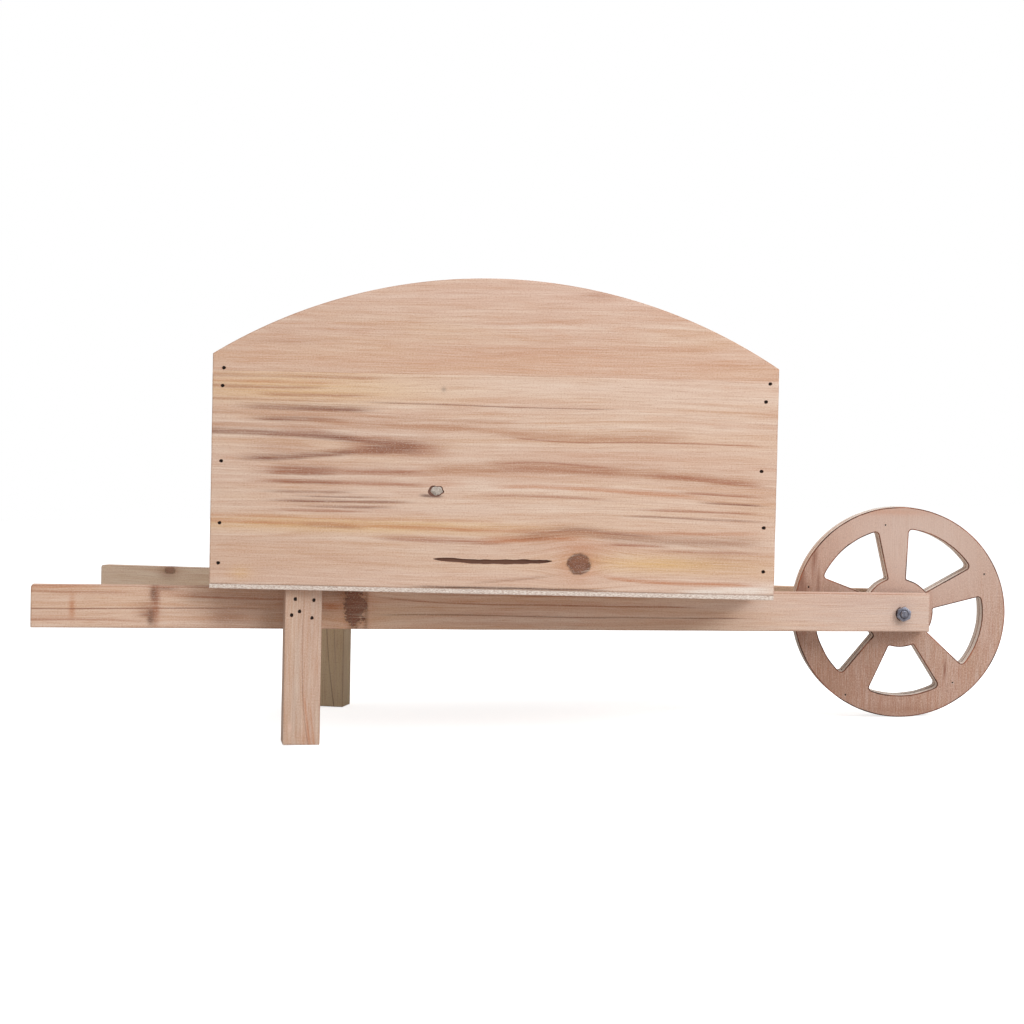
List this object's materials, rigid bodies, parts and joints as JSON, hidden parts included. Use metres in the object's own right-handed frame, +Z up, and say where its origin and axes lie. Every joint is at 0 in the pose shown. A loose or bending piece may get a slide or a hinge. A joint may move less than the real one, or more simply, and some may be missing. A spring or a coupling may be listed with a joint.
{
  "type": "wooden wheelbarrow",
  "caption": "Small wooden wheelbarrow: nailed box with arched sides on splayed rails, plain legs, and a spoked plywood wheel that turns on a bolt.",
  "frame": {"origin": "on the ground, under the middle of the barrow's outline in both directions", "axes": "+X from the handles to the wheel, +Y to the left of whoever pushes it, +Z up"},
  "size_m": [0.8078, 0.312, 0.371],
  "materials": {
    "rail_pine": "planed, unfinished pine with brown knots",
    "leg_pine": "planed, unfinished pine",
    "side_pine": "planed, unfinished pine with brown streaks and knots",
    "side_pine_pink": "planed, unfinished pine, plain and slightly pink",
    "end_pine": "planed, unfinished pine",
    "floor_plywood": "thin plywood with rough sawn edges",
    "wheel_plywood": "sawn plywood with brown cut edges",
    "zinc_plated_steel": "zinc plated",
    "brad_steel": "dull steel, set below the surface"
  },
  "bodies": {
    "barrow": {"axle_bolt": "zinc_plated_steel", "axle_nut": "zinc_plated_steel", "back_lower_board": "end_pine", "back_upper_board": "end_pine", "box_floor": "floor_plywood", "floor_to_box_brads": "brad_steel", "floor_to_rail_brads": "brad_steel", "front_lower_board": "end_pine", "front_upper_board": "end_pine", "left_leg": "leg_pine", "left_leg_brads": "brad_steel", "left_rail": "rail_pine", "left_side_brads": "brad_steel", "left_side_lower_board": "side_pine", "left_side_upper_board": "side_pine_pink", "right_leg": "leg_pine", "right_leg_brads": "brad_steel", "right_rail": "rail_pine", "right_side_brads": "brad_steel", "right_side_lower_board": "side_pine", "right_side_upper_board": "side_pine_pink"},
    "wheel": {"right_wheel_disc": "wheel_plywood", "left_wheel_disc": "wheel_plywood", "wheel_brads": "brad_steel"}
  },
  "joints": [
    {"name": "wheel_spin", "type": "hinge", "parent": "barrow", "child": "wheel", "pos_m": [0.31358, 0, 0.0903], "axis": [0, 1, 0], "continuous": true}
  ]
}
